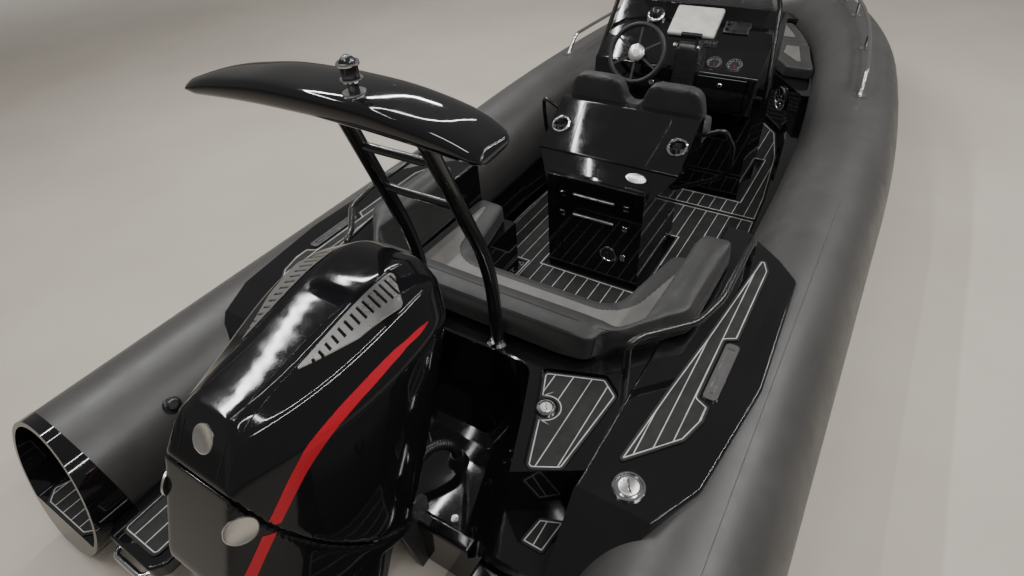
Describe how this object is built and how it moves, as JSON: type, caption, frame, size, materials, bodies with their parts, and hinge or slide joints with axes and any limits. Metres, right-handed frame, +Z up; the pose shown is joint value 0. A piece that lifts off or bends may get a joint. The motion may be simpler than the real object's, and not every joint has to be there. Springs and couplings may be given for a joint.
{
  "type": "rigid inflatable boat with an outboard engine",
  "caption": "Open rigid-hulled inflatable boat with side tubes, a centre console, a helm seat box, an aft bench, a mast wing and a tilting outboard engine.",
  "frame": {"origin": "on the centreline at the transom's aft face, at the height of the waterline when afloat", "axes": "+X forward to the bow, +Y to port, +Z up"},
  "size_m": [7.0965, 2.656, 2.3358],
  "materials": {
    "tube_fabric": "matt",
    "strake_rubber": "satin",
    "gelcoat": "gloss",
    "deck_foam": "matt",
    "vinyl": "satin",
    "black_tube": "gloss",
    "stainless": "polished",
    "lamp": "gloss",
    "engine_black": "gloss",
    "engine_silver": "satin",
    "cast_block": "rough",
    "bracket": "satin",
    "wheel_grip": "matt",
    "screen": "smoked",
    "plotter_case": "matt",
    "trim_plastic": "satin",
    "hose": "ribbed"
  },
  "bodies": {
    "boat": {"aft_deck": "gelcoat", "bench_backrest": "vinyl", "bench_base": "gelcoat", "bench_cushion": "vinyl", "bench_rails": "black_tube", "bow_base": "gelcoat", "bow_cushion": "vinyl", "bow_deck": "gelcoat", "clamp_bracket": "bracket", "cleats": "stainless", "cockpit_floor": "gelcoat", "console": "gelcoat", "console_seat": "vinyl", "cup_holders": "stainless", "floor_pads": "deck_foam", "fuel_caps": "stainless", "helm_backrests": "vinyl", "helm_cushions": "vinyl", "hose_boot": "trim_plastic", "hull_shell": "gelcoat", "ladder": "stainless", "mast_flanges": "stainless", "mast_legs": "black_tube", "mast_light": "lamp", "mast_wing": "gelcoat", "platform_pads": "deck_foam", "plotter": "plotter_case", "rigging_hoses": "hose", "rub_strakes": "strake_rubber", "seat_box": "gelcoat", "seat_handles": "black_tube", "side_decks": "gelcoat", "side_pads": "deck_foam", "speakers": "trim_plastic", "step_pads": "deck_foam", "swim_platforms": "gelcoat", "throttle_box": "trim_plastic", "towing_eyes": "stainless", "tube_end_pads": "deck_foam", "tube_ends": "gelcoat", "tube_handrails": "stainless", "tube_port": "tube_fabric", "tube_starboard": "tube_fabric", "windshield": "screen", "windshield_frame": "black_tube"},
    "engine_swivel": {"swivel_bracket": "bracket"},
    "engine": {"engine_cowl": "engine_black", "engine_lower_cowl": "engine_black", "vent_grilles": "engine_silver", "powerhead": "cast_block", "engine_midsection": "engine_black", "engine_gearcase": "engine_black"},
    "propeller": {"propeller": "stainless"},
    "steering_wheel": {"steering_wheel": "wheel_grip"},
    "seat_box_door": {"seat_box_door": "gelcoat"},
    "seat_drawer_low": {"seat_drawer_low": "gelcoat"},
    "seat_drawer_high": {"seat_drawer_high": "gelcoat"},
    "glovebox_lid": {"glovebox_lid": "gelcoat"},
    "bow_locker_lid": {"bow_locker_lid": "gelcoat"}
  },
  "joints": [
    {"name": "engine_tilt", "type": "hinge", "parent": "boat", "child": "engine_swivel", "pos_m": [0, 0, 0.33], "axis": [0, 1, 0], "range_deg": [-30, 8]},
    {"name": "engine_steer", "type": "hinge", "parent": "engine_swivel", "child": "engine", "pos_m": [-0.15311, 0, 0.20279], "axis": [0.4226, 0, 0.9063], "range_deg": [-30, 30]},
    {"name": "propeller_spin", "type": "hinge", "parent": "engine", "child": "propeller", "pos_m": [-0.98305, 0, -0.20464], "axis": [0.9063, 0, -0.4226], "continuous": true},
    {"name": "wheel_turn", "type": "hinge", "parent": "boat", "child": "steering_wheel", "pos_m": [2.79, 0.21, 0.95], "axis": [0.866, 0, -0.5], "range_deg": [-540, 540]},
    {"name": "seat_box_door_swing", "type": "hinge", "parent": "boat", "child": "seat_box_door", "pos_m": [1.7847, 0.218, 0.2], "axis": [0, 0, 1], "range_deg": [-100, 0]},
    {"name": "seat_drawer_low_slide", "type": "slide", "parent": "boat", "child": "seat_drawer_low", "axis": [-1, 0, 0], "range_m": [0, 0.28]},
    {"name": "seat_drawer_high_slide", "type": "slide", "parent": "boat", "child": "seat_drawer_high", "axis": [-1, 0, 0], "range_m": [0, 0.28]},
    {"name": "glovebox_lid_drop", "type": "hinge", "parent": "boat", "child": "glovebox_lid", "pos_m": [2.7891, 0, 0.69], "axis": [0, 1, 0], "range_deg": [-90, 0]},
    {"name": "bow_locker_lid_lift", "type": "hinge", "parent": "boat", "child": "bow_locker_lid", "pos_m": [5.2802, 0, 0.5253], "axis": [0, 1, 0], "range_deg": [-105, 0]}
  ],
  "couplings": [
    {"joint": "wheel_turn", "follows": "engine_steer", "ratio": 18}
  ]
}
